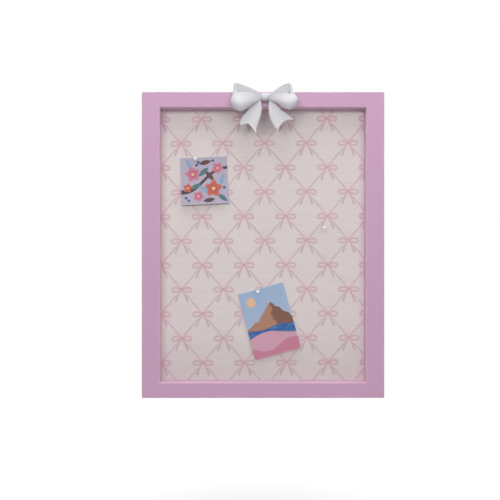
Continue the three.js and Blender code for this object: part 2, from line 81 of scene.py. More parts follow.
class Field:
    """A number that varies over a surface, carried by a socket and reckoned with Math nodes."""

    def __init__(self, tree: bpy.types.NodeTree, socket: Socket) -> None:
        """Keeps the tree and the socket that carries the number."""
        self.tree = tree
        self.socket = socket

    def reckon(self, operation: str, *operands: "Number", clamp: bool = False) -> "Field":
        """Adds one Math node.

        Args:
            operation: Name of the Math operation.
            operands: Fields or plain numbers, in the order of the node's inputs.
            clamp: Whether the result is held between 0 and 1.

        Returns:
            The node's result.
        """
        node = self.tree.nodes.new("ShaderNodeMath")
        node.operation = operation
        node.use_clamp = clamp
        for socket, operand in zip(node.inputs, operands):
            if isinstance(operand, Field):
                self.tree.links.new(operand.socket, socket)
            else:
                socket.default_value = operand
        return Field(self.tree, node.outputs[0])

    def __add__(self, other: "Number") -> "Field":
        """Adds."""
        return self.reckon("ADD", self, other)

    def __sub__(self, other: "Number") -> "Field":
        """Takes the other away."""
        return self.reckon("SUBTRACT", self, other)

    def __rsub__(self, other: float) -> "Field":
        """Takes this field away from a plain number."""
        return self.reckon("SUBTRACT", other, self)

    def __mul__(self, other: "Number") -> "Field":
        """Multiplies."""
        return self.reckon("MULTIPLY", self, other)

    def __truediv__(self, other: "Number") -> "Field":
        """Divides."""
        return self.reckon("DIVIDE", self, other)

    def size(self) -> "Field":
        """Returns the number without its sign."""
        return self.reckon("ABSOLUTE", self)

    def most(self, other: "Number") -> "Field":
        """Returns the larger of the two."""
        return self.reckon("MAXIMUM", self, other)

    def folded(self, period: float) -> "Field":
        """Repeats the number every period, centred on zero."""
        return self.reckon("WRAP", self, period / 2, -period / 2)

    def sine(self) -> "Field":
        """Returns the sine of the number, in radians."""
        return self.reckon("SINE", self)

    def angle_over(self, other: "Number") -> "Field":
        """Returns the angle whose tangent is this number over the other."""
        return self.reckon("ARCTAN2", self, other)

    def length_with(self, other: "Field") -> "Field":
        """Returns the length of the pair of this number and the other."""
        return self.reckon("SQRT", self * self + other * other)

    def below(self, edge: "Number", soft: float) -> "Field":
        """Masks where the number is below an edge.

        Args:
            edge: Value at the middle of the edge.
            soft: Width over which the mask goes from 1 to 0.

        Returns:
            A mask from 0 to 1.
        """
        gap = self.reckon("SUBTRACT", edge, self)
        return self.reckon("MULTIPLY_ADD", gap, 1 / soft, 0.5, clamp=True)

    def above(self, edge: "Number", soft: float) -> "Field":
        """Masks where the number is above an edge, with a soft width."""
        return self.reckon("MULTIPLY_ADD", self - edge, 1 / soft, 0.5, clamp=True)


Number = Union[Field, float, int]
Feed = Union[Field, Socket, float, tuple]


class Wiring:
    """Adds nodes to one node tree and joins them."""

    def __init__(self, tree: bpy.types.NodeTree) -> None:
        """Keeps the tree that the nodes go into."""
        self.tree = tree

    def feed(self, socket: Socket, value: Feed) -> None:
        """Joins a field or socket to an input, or sets the input to a plain value."""
        if isinstance(value, Field):
            self.tree.links.new(value.socket, socket)
        elif isinstance(value, Socket):
            self.tree.links.new(value, socket)
        else:
            socket.default_value = value

    def add(self, kind: str, feeds: dict[str, Feed], **settings: object) -> bpy.types.Node:
        """Adds a node.

        Args:
            kind: Type name of the node.
            feeds: What goes into its inputs, by the input's name.
            settings: Properties of the node.

        Returns:
            The node.
        """
        node = self.tree.nodes.new(kind)
        for key, value in settings.items():
            setattr(node, key, value)
        for key, value in feeds.items():
            self.feed(node.inputs[key], value)
        return node

    def field(self, socket: Socket) -> Field:
        """Wraps a socket so that it can be reckoned with."""
        return Field(self.tree, socket)

    def axes(self, vector: Socket) -> tuple[Field, Field, Field]:
        """Splits a vector into its three fields."""
        node = self.add("ShaderNodeSeparateXYZ", {"Vector": vector})
        return tuple(self.field(socket) for socket in node.outputs)

    def place(self, middle: Vector, turn: float = 0.0) -> Socket:
        """Gives Object coordinates in millimetres from a middle point, turned in the board's plane.

        Args:
            middle: The point that becomes zero, in metres.
            turn: Anticlockwise turn of the pattern as the front is seen, in degrees.

        Returns:
            The vector socket.
        """
        source = self.add("ShaderNodeTexCoord", {})
        node = self.add("ShaderNodeMapping", {"Vector": source.outputs["Object"]}, vector_type="TEXTURE")
        node.inputs["Location"].default_value = middle
        node.inputs["Rotation"].default_value = (0.0, -math.radians(turn), 0.0)
        node.inputs["Scale"].default_value = (MM, MM, MM)
        return node.outputs["Vector"]

    def stretched(self, vector: Socket, scale: tuple[float, float, float]) -> Socket:
        """Scales a vector along its three axes."""
        node = self.add("ShaderNodeVectorMath", {}, operation="MULTIPLY")
        self.feed(node.inputs[0], vector)
        self.feed(node.inputs[1], scale)
        return node.outputs[0]

    def noise(self, vector: Socket, scale: Number, detail: float = 3.0) -> Field:
        """Gives soft noise from 0 to 1, with the scale in cycles per millimetre."""
        node = self.add("ShaderNodeTexNoise", {"Vector": vector, "Scale": scale, "Detail": detail})
        return self.field(node.outputs["Fac"])

    def mix(self, amount: Number, first: Feed, second: Feed) -> Socket:
        """Blends two colours by an amount from 0 to 1."""
        node = self.add("ShaderNodeMix", {}, data_type="RGBA")
        self.feed(node.inputs[0], amount)
        self.feed(node.inputs[6], first)
        self.feed(node.inputs[7], second)
        return node.outputs[2]

    def shade(self, colour: Feed, tone: Field) -> Socket:
        """Multiplies a colour by a tone around 1."""
        grey = self.add("ShaderNodeCombineXYZ", {"X": tone, "Y": tone, "Z": tone})
        node = self.add("ShaderNodeMix", {}, data_type="RGBA", blend_type="MULTIPLY")
        self.feed(node.inputs[0], 1.0)
        self.feed(node.inputs[6], colour)
        self.feed(node.inputs[7], grey.outputs[0])
        return node.outputs[2]

    def bump(self, height: Field, depth: float) -> Socket:
        """Turns a height from 0 to 1 into a normal, with its depth in millimetres."""
        node = self.add("ShaderNodeBump", {"Height": height, "Strength": 1.0, "Distance": depth * MM})
        return node.outputs["Normal"]

    def surface(
        self, shader: bpy.types.Node, colour: Socket, roughness: Field, height: Field, depth: float
    ) -> None:
        """Feeds a shader its colour, its roughness and a relief, with its depth in millimetres."""
        self.feed(shader.inputs["Base Color"], colour)
        self.feed(shader.inputs["Roughness"], roughness)
        self.feed(shader.inputs["Normal"], self.bump(height, depth))


class Effect:
    """A shader node group that finishes place with their own values."""

    name: ClassVar[str]
    inputs: ClassVar[dict[str, float]] = {}
    outputs: ClassVar[tuple[str, ...]]

    def draw(self, wiring: Wiring, vector: Socket, values: dict[str, Field]) -> tuple[Field, ...]:
        """Wires the inside of the group.

        Args:
            wiring: Wiring of the group's tree.
            vector: Coordinates in millimetres.
            values: The named inputs.

        Returns:
            One field for each named output.
        """
        raise NotImplementedError

    def tree(self) -> bpy.types.NodeTree:
        """Returns the group, which is built the first time it is asked for."""
        built = bpy.data.node_groups.get(self.name)
        if built is not None:
            return built
        tree = bpy.data.node_groups.new(self.name, "ShaderNodeTree")
        tree.interface.new_socket("Vector", in_out="INPUT", socket_type="NodeSocketVector")
        for key, value in self.inputs.items():
            socket = tree.interface.new_socket(key, in_out="INPUT", socket_type="NodeSocketFloat")
            socket.default_value = value
        for key in self.outputs:
            tree.interface.new_socket(key, in_out="OUTPUT", socket_type="NodeSocketFloat")
        wiring = Wiring(tree)
        source = tree.nodes.new("NodeGroupInput")
        sink = tree.nodes.new("NodeGroupOutput")
        values = {key: wiring.field(source.outputs[key]) for key in self.inputs}
        for key, result in zip(self.outputs, self.draw(wiring, source.outputs["Vector"], values)):
            wiring.feed(sink.inputs[key], result)
        return tree

    def lay(self, wiring: Wiring, vector: Socket, **values: Feed) -> dict[str, Field]:
        """Places the group in a material.

        Args:
            wiring: Wiring of the material's tree.
            vector: Coordinates in millimetres.
            values: Values of the named inputs, with underscores for spaces.

        Returns:
            The group's outputs by name.
        """
        node = wiring.add("ShaderNodeGroup", {}, node_tree=self.tree())
        wiring.feed(node.inputs["Vector"], vector)
        for key, value in values.items():
            wiring.feed(node.inputs[key.replace("_", " ")], value)
        return {key: wiring.field(node.outputs[key]) for key in self.outputs}


class Mottle(Effect):
    """Cloudy change of tone with a fine grain on top."""

    name = "mottle"
    inputs = {"Cloud Scale": 0.02, "Grain Scale": 1.5, "Cloud": 0.05, "Grain": 0.03}
    outputs = ("Tone", "Height")

    def draw(self, wiring: Wiring, vector: Socket, values: dict[str, Field]) -> tuple[Field, ...]:
        """Adds a coarse and a fine noise round a tone of 1."""
        cloud = wiring.noise(vector, values["Cloud Scale"], detail=4.0)
        grain = wiring.noise(vector, values["Grain Scale"], detail=2.0)
        tone = (cloud - 0.5) * values["Cloud"] + (grain - 0.5) * values["Grain"] + 1.0
        return tone, grain


class Streaks(Effect):
    """Fine streaks along the vector's X axis, as a brush or a polishing belt leaves them."""

    name = "streaks"
    inputs = {"Scale": 1.0, "Amount": 0.05}
    outputs = ("Tone", "Height")

    LONG = (0.02, 1.0, 1.0)
    SHORT = (0.08, 2.1, 2.1)
    LONG_SHARE = 0.65

    def draw(self, wiring: Wiring, vector: Socket, values: dict[str, Field]) -> tuple[Field, ...]:
        """Draws noise that is long along X and narrow across it."""
        long = wiring.noise(wiring.stretched(vector, self.LONG), values["Scale"])
        short = wiring.noise(wiring.stretched(vector, self.SHORT), values["Scale"], detail=2.0)
        height = long * self.LONG_SHARE + short * (1 - self.LONG_SHARE)
        return (height - 0.5) * values["Amount"] + 1.0, height


class EdgeWear(Effect):
    """Ragged band along the four sides of a rectangle in the board's plane."""

    name = "edge_wear"
    inputs = {"Half Width": 100.0, "Half Height": 100.0, "Reach": 1.0}
    outputs = ("Worn",)

    FRAY = 0.35
    FRAY_SPAN = 1.6
    FRAY_BREAK = 0.1
    PATCH = 0.06
    PATCH_FROM = 0.42
    PATCH_SOFT = 0.2
    SOFT = 0.5

    def draw(self, wiring: Wiring, vector: Socket, values: dict[str, Field]) -> tuple[Field, ...]:
        """Masks the points near the rectangle's sides, broken up by noise."""
        x, _, z = wiring.axes(vector)
        side = (x.size() - values["Half Width"]).most(z.size() - values["Half Height"]).size()
        ragged = wiring.noise(vector, self.FRAY, detail=4.0)
        reach = values["Reach"] * (ragged * self.FRAY_SPAN - self.FRAY_BREAK)
        patch = wiring.noise(vector, self.PATCH, detail=2.0).above(self.PATCH_FROM, self.PATCH_SOFT)
        return (side.below(reach, self.SOFT) * patch,)

    def band(self, wiring: Wiring, vector: Socket, half: tuple[float, float], reach: float) -> Field:
        """Places the band round a rectangle, given by half its width and height."""
        return self.lay(wiring, vector, Half_Width=half[0], Half_Height=half[1], Reach=reach)["Worn"]


class LinenWeave(Effect):
    """Plain weave with thick and thin yarns, heavier along the weft."""

    name = "linen_weave"
    inputs = {"Yarn": 0.62}
    outputs = ("Tone", "Height")

    WANDER = (0.05, 1.0, 0.9)
    WANDER_TURN = 2.0
    SLUB = (0.035, 1.0, 0.55)
    FINE = (0.3, 1.0, 2.2)
    WEFT_RISE = 0.5
    WARP_RISE = 0.3
    SLUB_RISE = 0.4
    MEAN_RISE = 0.6
    SLUB_TONE = 0.16
    FINE_TONE = 0.06
    RISE_TONE = 0.05

    def draw(self, wiring: Wiring, vector: Socket, values: dict[str, Field]) -> tuple[Field, ...]:
        """Crosses two sets of yarns and adds slubs that run along the weft."""
        x, _, z = wiring.axes(vector)
        turn = values["Yarn"].reckon("DIVIDE", math.pi, values["Yarn"])
        wander = wiring.noise(wiring.stretched(vector, self.WANDER), 1.0, detail=2.0)
        weft = (z * turn + wander * self.WANDER_TURN).sine().size()
        warp = (x * turn).sine().size()
        slub = wiring.noise(wiring.stretched(vector, self.SLUB), 1.0)
        fine = wiring.noise(wiring.stretched(vector, self.FINE), 1.0, detail=2.0)
        height = weft * self.WEFT_RISE + warp * self.WARP_RISE + slub * self.SLUB_RISE
        tone = (slub - 0.5) * self.SLUB_TONE + (fine - 0.5) * self.FINE_TONE
        tone = tone + (height - self.MEAN_RISE) * self.RISE_TONE + 1.0
        return tone, height


class RibbonTrellis(Effect):
    """Printed diamond lattice of thin ribbons with a small tied bow at every crossing.

    The vector's zero is the knot of one bow, X to the right and Z up, in millimetres.
    """

    name = "ribbon_trellis"
    outputs = ("Ink", "Rosy", "Blush")

    PITCH = 61.95
    ROW = 36.13
    LOOP_MIDDLE = 8.1
    LOOP_REACH = 6.1
    LOOP_RISE = 3.2
    LOOP_TAPER = 0.25
    LOOP_DROOP = 0.07
    STROKE = 0.9
    SOFT = 2.2
    FILL_SOFT = 0.5
    KNOT = 2.2
    TAIL_SPREAD = 0.62
    TAIL_CURL = 0.0092
    TAIL_TOP = 0.5
    TAIL_TOP_SOFT = 2.0
    TAIL_FALL = 19.0
    TAIL_END_SOFT = 2.5
    TAIL_ROOT = 0.4
    TAIL_FLARE = 0.03
    STRAP_START = 8.0
    STRAP_STRENGTH = 0.9
    HIDE_SOFT = 3.0
    FADE_WIDTH = 11.0
    FADE_FROM = 2.0
    FADE_SOFT = 2.0
    FADE_TO = 8.0
    FADE_END_SOFT = 6.0
    FADE_STRENGTH = 0.2
    ROSY_REACH = 11.0
    ROSY_SOFT = 12.0
    PATCH = 0.12
    PATCH_SPAN = 0.6
    PATCH_LEAST = 0.65

    def bow(self, x: Field, z: Field) -> tuple[Field, Field]:
        """Draws one bow round a knot at zero.

        Args:
            x: Distance to the right of the knot.
            z: Height above the knot.

        Returns:
            Its drawn lines, and the pale filling of its loops.
        """
        side = x.size()
        across = (side - self.LOOP_MIDDLE) / self.LOOP_REACH
        belly = across * (self.LOOP_TAPER * self.LOOP_RISE) + self.LOOP_RISE
        rise = (z + side * self.LOOP_DROOP) / belly
        ring = across.length_with(rise)
        slope = (across / self.LOOP_REACH).length_with(rise / belly) / ring
        outline = ((ring - 1.0).size() / slope).below(self.STROKE, self.SOFT)
        knot = x.length_with(z).below(self.KNOT, self.SOFT)
        fall = z * -1.0
        spread = fall * self.TAIL_SPREAD - fall * fall * self.TAIL_CURL
        tail = (side - spread - self.TAIL_ROOT).size().below(fall * self.TAIL_FLARE + self.STROKE, self.SOFT)
        tail = tail * fall.above(self.TAIL_TOP, self.TAIL_TOP_SOFT)
        tail = tail * fall.below(self.TAIL_FALL, self.TAIL_END_SOFT)
        return outline.most(knot).most(tail), ring.below(1.0, self.FILL_SOFT)

    def strap(self, x: Field, z: Field) -> Field:
        """Draws the ribbons of one slant, which run from knot to knot."""
        steep = math.hypot(1 / self.PITCH, 0.5 / self.ROW)
        slant = (x / self.PITCH + z / (2 * self.ROW)).folded(1.0)
        return (slant.size() / steep).below(self.STROKE, self.SOFT)

    def behind(self, x: Field, z: Field) -> Field:
        """Masks where the bow at zero hides the ribbons, and more weakly where they fade above it."""
        near = x.size().below(self.FADE_WIDTH, self.HIDE_SOFT)
        hidden = z.above(-self.STRAP_START, self.HIDE_SOFT) * z.below(self.FADE_FROM, self.FADE_SOFT)
        faint = z.above(self.FADE_FROM, self.FADE_SOFT) * z.below(self.FADE_TO, self.FADE_END_SOFT)
        return near * hidden.most(faint * self.FADE_STRENGTH)

    def rosy(self, x: Field, z: Field) -> Field:
        """Masks softly round the knot at zero, where the ink turns rosy."""
        return x.length_with(z).below(self.ROSY_REACH, self.ROSY_SOFT)

    def draw(self, wiring: Wiring, vector: Socket, values: dict[str, Field]) -> tuple[Field, ...]:
        """Lays two offset lattices of bows over the ribbons of both slants."""
        x, _, z = wiring.axes(vector)
        near = (x.folded(self.PITCH), z.folded(2 * self.ROW))
        far = ((x + self.PITCH / 2).folded(self.PITCH), (z + self.ROW).folded(2 * self.ROW))
        bows, filling = self.bow(*near)
        far_bows, far_filling = self.bow(*far)
        bows = bows.most(far_bows)
        straps = self.strap(x, z).most(self.strap(x * -1.0, z))
        straps = straps * (1.0 - self.behind(*near).most(self.behind(*far))) * self.STRAP_STRENGTH
        patchy = wiring.noise(vector, self.PATCH) * self.PATCH_SPAN + self.PATCH_LEAST
        return bows.most(straps) * patchy, self.rosy(*near).most(self.rosy(*far)), filling.most(far_filling)


@dataclass(frozen=True)
class Roughness:
    """How rough a surface is: a base, and what a mark from 0 to 1 adds to it."""

    base: float
    added: float

    def over(self, mark: Field) -> Field:
        """Returns the roughness of a surface that bears the mark."""
        return mark * self.added + self.base


@dataclass(frozen=True)
class Finish:
    """A material, wired once and shared by the pieces that wear it."""

    name: str

    def wire(self, wiring: Wiring, shader: bpy.types.Node) -> None:
        """Wires the surface into the shader.

        Args:
            wiring: Wiring of the material's tree.
            shader: The Principled BSDF.
        """
        raise NotImplementedError

    def material(self) -> bpy.types.Material:
        """Returns the material, which is made the first time it is asked for."""
        made = bpy.data.materials.get(self.name)
        if made is not None:
            return made
        made = bpy.data.materials.new(self.name)
        made.use_nodes = True
        self.wire(Wiring(made.node_tree), made.node_tree.nodes["Principled BSDF"])
        return made


class Lay(Enum):
    """Direction that a bar's brush marks run in, as a turn in degrees."""

    LEVEL = 0.0
    UPRIGHT = 90.0


@dataclass(frozen=True)
class LilacPaint(Finish):
    """Satin lilac paint, brushed along the bar, lighter on rubbed edges, with painted light on the inner
    faces of the opening and painted shade deep in it.
    """

    lay: Lay = Lay.LEVEL
    tint: Screen = (202, 161, 191)
    # Painted light and shade: the opening's inner faces, and a thin strip of face along it, are paler at the
    # front and darker towards the back.
    inside: Screen = (225, 187, 210)
    painted_shade_deep: Screen = (207, 171, 191)
    rubbed: Screen = (226, 198, 218)
    half_outer: tuple[float, float] = (176.0, 222.0)
    half_inner: tuple[float, float] = (150.0, 200.0)
    outer_reach: float = 1.3
    inner_reach: float = 0.9
    rub_depth: float = 1.2
    rub_soft: float = 1.0
    rub_strength: float = 0.3
    opening_margin: float = 0.5
    painted_shade_from: float = 9.0
    painted_shade_soft: float = 10.0
    rough: Roughness = Roughness(0.5, 0.12)
    brush_share: float = 0.7
    relief: float = 0.05

    def wire(self, wiring: Wiring, shader: bpy.types.Node) -> None:
        """Brush streaks and faint clouds in the paint, with rubbed edges, and painted light and shade in the
        opening.
        """
        vector = wiring.place(FRAME_MIDDLE)
        along = wiring.place(FRAME_MIDDLE, self.lay.value)
        brush = Streaks().lay(wiring, along, Scale=1.4, Amount=0.035)
        cloud = Mottle().lay(wiring, vector, Cloud_Scale=0.012, Grain_Scale=2.6, Cloud=0.05, Grain=0.02)
        outer = EdgeWear().band(wiring, vector, self.half_outer, self.outer_reach)
        inner = EdgeWear().band(wiring, vector, self.half_inner, self.inner_reach)
        x, depth, z = wiring.axes(vector)
        rubbed = outer.most(inner) * depth.size().below(self.rub_depth, self.rub_soft) * self.rub_strength
        # Painted light and shade in the opening: paler inner faces that darken towards the back.
        opening = x.size().below(self.half_inner[0] + self.opening_margin, self.opening_margin)
        opening = opening * z.size().below(self.half_inner[1] + self.opening_margin, self.opening_margin)
        painted_shade_amount = depth.above(self.painted_shade_from, self.painted_shade_soft)
        wall = wiring.mix(painted_shade_amount, linear(self.inside), linear(self.painted_shade_deep))
        tint = wiring.mix(opening, linear(self.tint), wall)
        paint = wiring.shade(tint, brush["Tone"] * cloud["Tone"])
        paint = wiring.mix(rubbed, paint, linear(self.rubbed))
        height = brush["Height"] * self.brush_share + cloud["Height"] * (1 - self.brush_share)
        wiring.surface(shader, paint, self.rough.over(cloud["Height"]), height, self.relief)
        shader.inputs["Specular IOR Level"].default_value = 0.35


@dataclass(frozen=True)
class PrintedLinen(Finish):
    """Pale linen with the ribbon trellis printed on it, with painted shade low down and painted light by the
    stiles.
    """

    ground: Screen = (225, 215, 214)
    grey_ink: Screen = (199, 174, 180)
    rosy_ink: Screen = (207, 165, 177)
    blush: Screen = (227, 203, 207)
    blush_strength: float = 0.6
    rosy_strength: float = 0.45
    ink_strength: float = 0.95
    knot: tuple[float, float] = (64.79, -131.34)
    turn: float = 0.3
    # Painted shade: the linen darkens towards its lower edge.
    painted_low_shade: float = 0.13
    painted_shade_level: float = -250.0
    painted_shade_reach: float = 100.0
    # Painted light: the linen is lightened close to the stiles.
    painted_side_light: float = 0.11
    painted_light_from: float = 145.5
    painted_light_reach: float = 6.0
    rough: Roughness = Roughness(0.82, 0.1)
    relief: float = 0.18

    def wire(self, wiring: Wiring, shader: bpy.types.Node) -> None:
        """Prints the trellis over the weave, so that the yarns show through the ink."""
        vector = wiring.place(Vector((self.knot[0] * MM, 0.0, self.knot[1] * MM)), self.turn)
        weave = LinenWeave().lay(wiring, vector, Yarn=0.62)
        cloud = Mottle().lay(wiring, vector, Cloud_Scale=0.02, Grain_Scale=1.2, Cloud=0.05, Grain=0.04)
        trellis = RibbonTrellis().lay(wiring, vector)
        ground = wiring.mix(trellis["Blush"] * self.blush_strength, linear(self.ground), linear(self.blush))
        ground = wiring.mix(trellis["Rosy"] * self.rosy_strength, ground, linear(self.blush))
        ink = wiring.mix(trellis["Rosy"], linear(self.grey_ink), linear(self.rosy_ink))
        inked = wiring.mix(trellis["Ink"] * self.ink_strength, ground, ink)
        _, _, rise = wiring.axes(vector)
        # Painted shade low down and painted light by the stiles, multiplied into the tone.
        painted_light_and_shade = 1.0 - rise.below(self.painted_shade_level, self.painted_shade_reach) * self.painted_low_shade
        across, _, _ = wiring.axes(wiring.place(FRAME_MIDDLE))
        painted_light_and_shade = painted_light_and_shade * (across.size().above(self.painted_light_from, self.painted_light_reach) * self.painted_side_light + 1.0)
        printed = wiring.shade(inked, weave["Tone"] * cloud["Tone"] * painted_light_and_shade)
        wiring.surface(shader, printed, self.rough.over(weave["Height"]), weave["Height"], self.relief)
        shader.inputs["Sheen Weight"].default_value = 0.15
        shader.inputs["Specular IOR Level"].default_value = 0.25


@dataclass(frozen=True)
class SatinRibbon(Finish):
    """White stiffened satin with fine ribs across its width."""

    tint: Screen = (213, 211, 216)
    shade: Screen = (200, 198, 204)
    shade_strength: float = 0.5
    rough: Roughness = Roughness(0.42, 0.15)
    relief: float = 0.06

    def wire(self, wiring: Wiring, shader: bpy.types.Node) -> None:
        """Fine ribs, faint cloudiness and a soft sheen."""
        vector = wiring.place(BOW_MIDDLE)
        ribs = Streaks().lay(wiring, vector, Scale=1.8, Amount=0.05)
        cloud = Mottle().lay(wiring, vector, Cloud_Scale=0.06, Grain_Scale=3.0, Cloud=0.05, Grain=0.02)
        ground = wiring.mix(cloud["Height"] * self.shade_strength, linear(self.tint), linear(self.shade))
        satin = wiring.shade(ground, ribs["Tone"] * cloud["Tone"])
        wiring.surface(shader, satin, self.rough.over(ribs["Height"]), ribs["Height"], self.relief)
        shader.inputs["Sheen Weight"].default_value = 0.2


@dataclass(frozen=True)
class Pearl(Finish):
    """Glossy white bead of a pin."""

    tint: Screen = (240, 238, 240)
    rough: Roughness = Roughness(0.16, 0.1)

    def wire(self, wiring: Wiring, shader: bpy.types.Node) -> None:
        """Faint swirls under a clear gloss."""
        vector = wiring.place(FRAME_MIDDLE)
        swirl = Mottle().lay(wiring, vector, Cloud_Scale=0.4, Grain_Scale=4.0, Cloud=0.06, Grain=0.02)
        wiring.feed(shader.inputs["Base Color"], wiring.shade(linear(self.tint), swirl["Tone"]))
        wiring.feed(shader.inputs["Roughness"], self.rough.over(swirl["Height"]))
        shader.inputs["Coat Weight"].default_value = 0.5
        shader.inputs["Coat Roughness"].default_value = 0.08


@dataclass(frozen=True)
class BrightSteel(Finish):
    """Plated steel with polishing marks and a few dull spots."""

    tint: Screen = (168, 168, 172)
    least_rough: float = 0.16
    polish_rough: float = 0.2
    dull_rough: float = 0.15
    relief: float = 0.02

    def wire(self, wiring: Wiring, shader: bpy.types.Node) -> None:
        """Polishing streaks in tone, roughness and relief."""
        vector = wiring.place(FRAME_MIDDLE)
        polish = Streaks().lay(wiring, vector, Scale=5.0, Amount=0.12)
        dull = Mottle().lay(wiring, vector, Cloud_Scale=0.25, Grain_Scale=3.5, Cloud=0.18, Grain=0.05)
        plate = wiring.shade(linear(self.tint), polish["Tone"] * dull["Tone"])
        roughness = polish["Height"] * self.polish_rough + dull["Height"] * self.dull_rough + self.least_rough
        wiring.surface(shader, plate, roughness, polish["Height"], self.relief)
        shader.inputs["Metallic"].default_value = 1.0


@dataclass(frozen=True)
class FibreBoard(Finish):
    """Pressed fibre board, hard or soft by its tints, scale and relief."""

    tint: Screen = (164, 124, 88)
    fibre: Screen = (106, 74, 50)
    scale: float = 1.0
    relief: float = 0.1
    level_run: tuple[float, float, float] = (0.14, 1.0, 0.8)
    level_from: float = 0.54
    steep_run: tuple[float, float, float] = (0.8, 1.0, 0.14)
    steep_from: float = 0.58
    soft: float = 0.14
    fibre_strength: float = 0.4
    fibre_share: float = 0.5
    rough: Roughness = Roughness(0.8, -0.1)

    def wire(self, wiring: Wiring, shader: bpy.types.Node) -> None:
        """Matted fibres in two directions over a cloudy ground."""
        vector = wiring.place(FRAME_MIDDLE)
        cloud = Mottle().lay(
            wiring, vector, Cloud_Scale=0.04 * self.scale, Grain_Scale=0.6 * self.scale, Cloud=0.3, Grain=0.4
        )
        level = wiring.noise(wiring.stretched(vector, self.level_run), self.scale, detail=4.0)
        steep = wiring.noise(wiring.stretched(vector, self.steep_run), self.scale, detail=4.0)
        fibres = level.above(self.level_from, self.soft).most(steep.above(self.steep_from, self.soft))
        ground = wiring.mix(fibres * self.fibre_strength, linear(self.tint), linear(self.fibre))
        board = wiring.shade(ground, cloud["Tone"])
        height = fibres * self.fibre_share + cloud["Height"] * (1 - self.fibre_share)
        wiring.surface(shader, board, self.rough.over(fibres), height, self.relief)


@dataclass(frozen=True)
class BareWood(Finish):
    """Unfinished beech of the dowels, grain along the rod."""

    tint: Screen = (206, 172, 130)
    grain: Screen = (160, 118, 80)
    grain_from: float = 0.55
    grain_soft: float = 0.15
    grain_strength: float = 0.6
    rough: Roughness = Roughness(0.6, 0.15)
    relief: float = 0.08

    def wire(self, wiring: Wiring, shader: bpy.types.Node) -> None:
        """Grain lines with flecks."""
        vector = wiring.place(FRAME_MIDDLE)
        lines = Streaks().lay(wiring, vector, Scale=3.0, Amount=0.2)
        flecks = Mottle().lay(wiring, vector, Cloud_Scale=0.2, Grain_Scale=2.0, Cloud=0.1, Grain=0.12)
        dark = lines["Height"].above(self.grain_from, self.grain_soft)
        ground = wiring.mix(dark * self.grain_strength, linear(self.tint), linear(self.grain))
        wood = wiring.shade(ground, flecks["Tone"])
        wiring.surface(shader, wood, self.rough.over(flecks["Height"]), lines["Height"], self.relief)


@dataclass(frozen=True)
class DarkRubber(Finish):
    """Matt dark rubber with a fine moulded grain and scuffs."""

    tint: Screen = (52, 48, 50)
    scuff: Screen = (92, 88, 90)
    scuff_scale: float = 0.9
    scuff_from: float = 0.6
    scuff_soft: float = 0.2
    scuff_strength: float = 0.5
    rough: Roughness = Roughness(0.62, 0.2)
    relief: float = 0.05

    def wire(self, wiring: Wiring, shader: bpy.types.Node) -> None:
        """Moulded grain, paler where it is scuffed."""
        vector = wiring.place(FRAME_MIDDLE)
        skin = Mottle().lay(wiring, vector, Cloud_Scale=0.5, Grain_Scale=6.0, Cloud=0.2, Grain=0.25)
        worn = wiring.noise(vector, self.scuff_scale, detail=4.0).above(self.scuff_from, self.scuff_soft)
        ground = wiring.mix(worn * self.scuff_strength, linear(self.tint), linear(self.scuff))
        rubber = wiring.shade(ground, skin["Tone"])
        wiring.surface(shader, rubber, self.rough.over(skin["Height"]), skin["Height"], self.relief)


@dataclass(frozen=True)
class CardPaper(Finish):
    """Plain uncoated back and cut edges of a card."""

    tint: Screen = (226, 222, 220)
    rough: Roughness = Roughness(0.7, 0.1)
    relief: float = 0.03

    def wire(self, wiring: Wiring, shader: bpy.types.Node) -> None:
        """Paper fibres in tone and relief."""
        vector = wiring.place(FRAME_MIDDLE)
        fibre = Mottle().lay(wiring, vector, Cloud_Scale=0.08, Grain_Scale=2.5, Cloud=0.04, Grain=0.06)
        paper = wiring.shade(linear(self.tint), fibre["Tone"])
        wiring.surface(shader, paper, self.rough.over(fibre["Height"]), fibre["Height"], self.relief)


@dataclass(frozen=True)
class PictureCard(Finish):
    """Printed face of a card. Each design paints in millimetres from the card's middle."""

    middle: tuple[float, float] = (0.0, 0.0)
    turn: float = 0.0
    half: tuple[float, float] = (35.0, 35.0)
    cut_edge: Screen = (226, 222, 222)
    cut_reach: float = 0.8
    cut_strength: float = 0.4
    rough: Roughness = Roughness(0.5, 0.12)
    relief: float = 0.02

    def paint(self, wiring: Wiring, vector: Socket) -> Socket:
        """Paints the design.

        Args:
            wiring: Wiring of the material's tree.
            vector: Millimetres from the card's middle, X along its width and Z up.

        Returns:
            The colour socket.
        """
        raise NotImplementedError

    def wire(self, wiring: Wiring, shader: bpy.types.Node) -> None:
        """Lays the design on the paper, worn pale along the cut edges."""
        vector = wiring.place(Vector((self.middle[0] * MM, 0.0, self.middle[1] * MM)), self.turn)
        fibre = Mottle().lay(wiring, vector, Cloud_Scale=0.05, Grain_Scale=2.2, Cloud=0.06, Grain=0.05)
        worn = EdgeWear().band(wiring, vector, self.half, self.cut_reach) * self.cut_strength
        printed = wiring.shade(self.paint(wiring, vector), fibre["Tone"])
        pale = wiring.mix(worn, printed, linear(self.cut_edge))
        wiring.surface(shader, pale, self.rough.over(fibre["Height"]), fibre["Height"], self.relief)


class Dye(Enum):
    """Colours that the blossom card is printed in."""

    BARK = (58, 34, 38)
    POD = (78, 46, 44)
    LEAF = (70, 104, 108)
    MIST = (128, 158, 184)
    BERRY = (40, 62, 118)
    ROSE = (202, 116, 144)
    CORAL = (194, 98, 74)
    THROAT = (118, 44, 62)
    STAMEN = (224, 182, 140)


